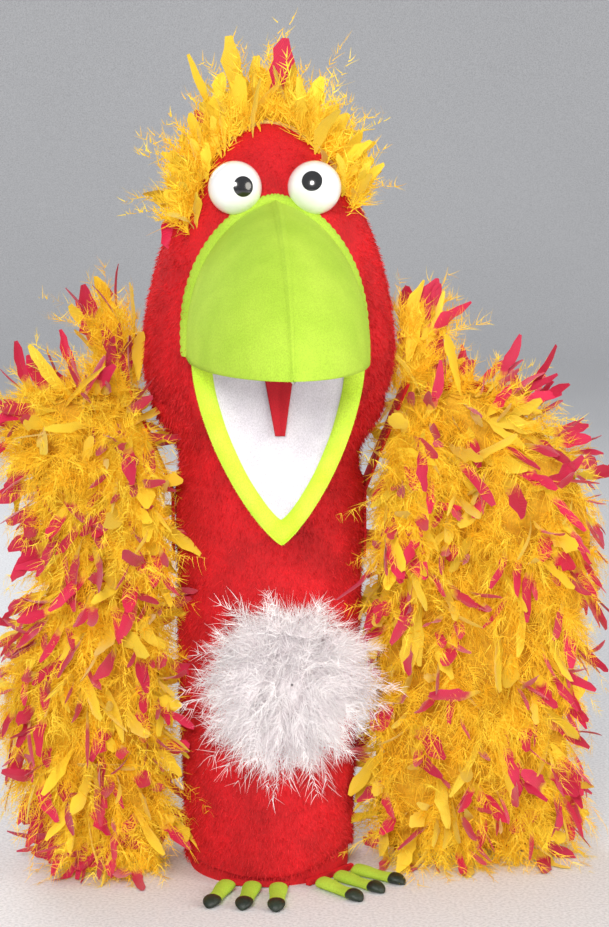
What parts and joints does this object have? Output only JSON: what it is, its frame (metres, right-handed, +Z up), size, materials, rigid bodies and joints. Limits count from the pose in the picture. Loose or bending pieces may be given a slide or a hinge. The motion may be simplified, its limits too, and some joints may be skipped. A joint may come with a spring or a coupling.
{
  "type": "moving mouth puppet",
  "caption": "Bird hand puppet with a plush sleeve body, a nodding head, a hinged felt beak, glossy dome eyes, a feather crest and hanging feather wings.",
  "frame": {"origin": "centre of the sleeve's opening, on the body's axis at its lower edge", "axes": "+Z up along the sleeve, the beak points to -Y, +X is the right side in a front view"},
  "size_m": [0.4731, 0.3285, 0.655],
  "materials": {
    "red_plush": "matte",
    "lining_cloth": "matte",
    "foam": "matte",
    "white_felt": "matte",
    "white_down": "matte",
    "lime_felt": "matte",
    "neon_felt": "matte",
    "mouth_board": "matte",
    "elastic": "matte",
    "cord": "matte",
    "eye_white": "gloss",
    "eye_black": "gloss",
    "claw_black": "satin",
    "gold_feather": "matte"
  },
  "bodies": {
    "body": {"hem_band": "lining_cloth", "sleeve_lining": "lining_cloth", "body_foam_liner": "foam", "body_cover": "red_plush", "belly_backing": "white_felt", "belly_feathers": "white_down", "left_shoulder_tab": "red_plush", "right_shoulder_tab": "red_plush", "left_foot_tab": "red_plush", "right_foot_tab": "red_plush"},
    "neck": {"neck_foam_ring": "foam", "neck_cover": "red_plush"},
    "head": {"head_foam": "foam", "head_cover": "red_plush", "beak_foam": "foam", "left_beak_felt": "lime_felt", "right_beak_felt": "lime_felt", "beak_flange": "lime_felt", "upper_mouth_board": "mouth_board", "upper_mouth_lining": "white_felt", "finger_strap": "elastic", "mouth_hinge_cord": "cord", "left_eye_dome": "eye_white", "right_eye_dome": "eye_white", "left_pupil": "eye_black", "right_pupil": "eye_black", "crest_boa_cord": "cord", "crest_feathers": "gold_feather"},
    "jaw": {"jaw_foam": "foam", "jaw_cover": "neon_felt", "jaw_rim": "neon_felt", "lower_mouth_board": "mouth_board", "lower_mouth_lining": "white_felt", "thumb_strap": "elastic", "tongue": "red_plush"},
    "left_wing": {"left_wing_panel": "red_plush", "left_wing_boa_cord": "cord", "left_wing_front_feathers": "gold_feather", "left_wing_rear_feathers": "gold_feather"},
    "right_wing": {"right_wing_panel": "red_plush", "right_wing_boa_cord": "cord", "right_wing_front_feathers": "gold_feather", "right_wing_rear_feathers": "gold_feather"},
    "left_foot": {"left_toes": "lime_felt", "left_claws": "claw_black"},
    "right_foot": {"right_toes": "lime_felt", "right_claws": "claw_black"}
  },
  "joints": [
    {"name": "head_turn", "type": "hinge", "parent": "body", "child": "neck", "pos_m": [0, 0, 0.33], "axis": [0, 0, 1], "range_deg": [-25, 25]},
    {"name": "head_nod", "type": "hinge", "parent": "neck", "child": "head", "pos_m": [0, 0, 0.33], "axis": [1, 0, 0], "range_deg": [-15, 15]},
    {"name": "jaw_close", "type": "hinge", "parent": "head", "child": "jaw", "pos_m": [0, -0.11, 0.418], "axis": [-1, 0, 0], "range_deg": [0, 76]},
    {"name": "left_wing_lift", "type": "hinge", "parent": "body", "child": "left_wing", "pos_m": [-0.11, 0, 0.388], "axis": [0, 1, 0], "range_deg": [0, 60]},
    {"name": "right_wing_lift", "type": "hinge", "parent": "body", "child": "right_wing", "pos_m": [0.11, 0, 0.388], "axis": [0, -1, 0], "range_deg": [0, 60]},
    {"name": "left_foot_lift", "type": "hinge", "parent": "body", "child": "left_foot", "pos_m": [-0.01742, -0.06986, 0.00445], "axis": [-0.9703, 0.2419, 0], "range_deg": [0, 70]},
    {"name": "right_foot_lift", "type": "hinge", "parent": "body", "child": "right_foot", "pos_m": [0.0491, -0.05266, 0.00445], "axis": [-0.7314, -0.682, 0], "range_deg": [0, 70]}
  ]
}
